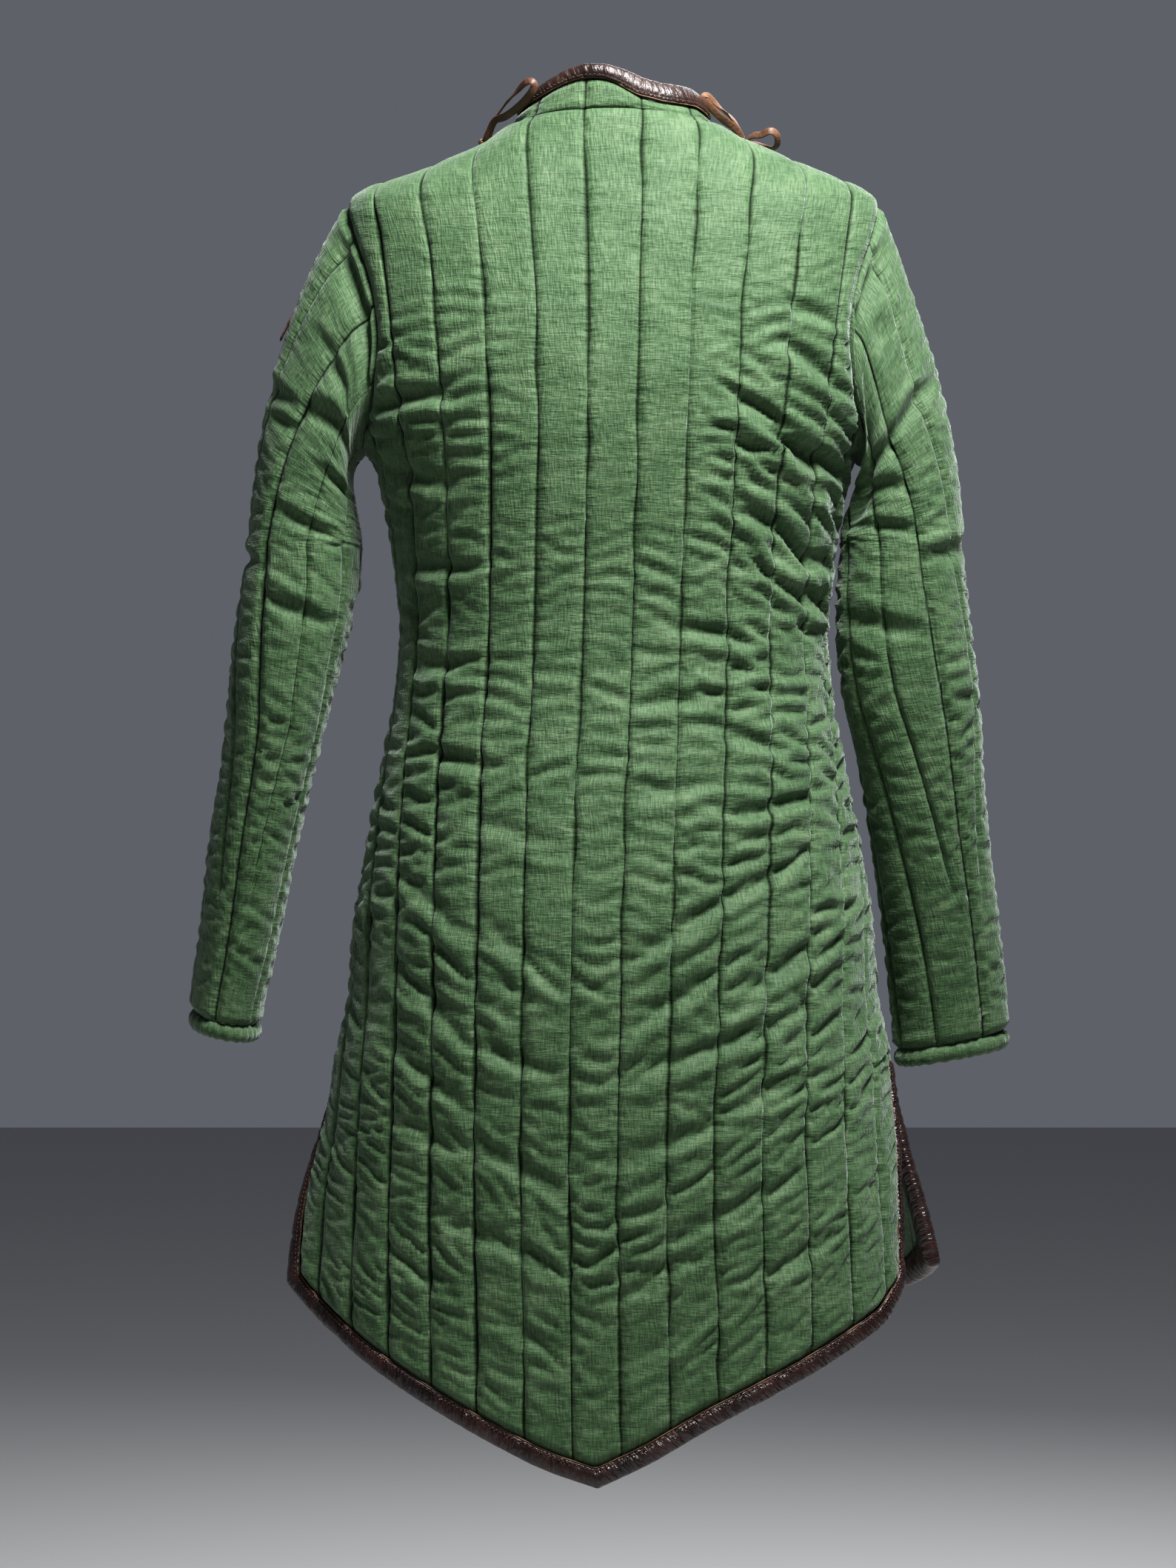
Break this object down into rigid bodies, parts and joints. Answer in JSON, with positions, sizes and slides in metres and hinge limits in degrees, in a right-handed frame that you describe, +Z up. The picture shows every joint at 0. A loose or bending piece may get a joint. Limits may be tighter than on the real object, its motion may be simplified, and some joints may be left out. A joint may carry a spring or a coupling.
{
  "type": "gambeson",
  "caption": "Quilted long-sleeved linen gambeson with a standing collar, side slits, pointed back hem, leather-bound edges and leather thongs, standing filled out.",
  "frame": {"origin": "middle of the neck base between the shoulders, the place where the garment hangs on its wearer", "axes": "+Z up, +X to the wearer's right, +Y out of the chest"},
  "size_m": [0.641, 0.3223, 1.0597],
  "materials": {
    "linen": "matte",
    "binding_leather": "gloss",
    "thong_leather": "satin"
  },
  "bodies": {
    "root": {"back_panel": "linen", "front_right_panel": "linen", "front_left_panel": "linen", "sleeve_right": "linen", "sleeve_left": "linen", "cuff_right": "linen", "cuff_left": "linen", "collar": "linen", "back_binding": "binding_leather", "front_right_binding": "binding_leather", "front_left_binding": "binding_leather", "collar_binding": "binding_leather", "front_tie_1": "thong_leather", "front_tie_2": "thong_leather", "front_tie_3": "thong_leather", "front_tie_4": "thong_leather", "front_tie_5": "thong_leather", "shoulder_thong_left": "thong_leather", "shoulder_thong_right": "thong_leather", "arm_thong_left": "thong_leather"}
  },
  "joints": []
}
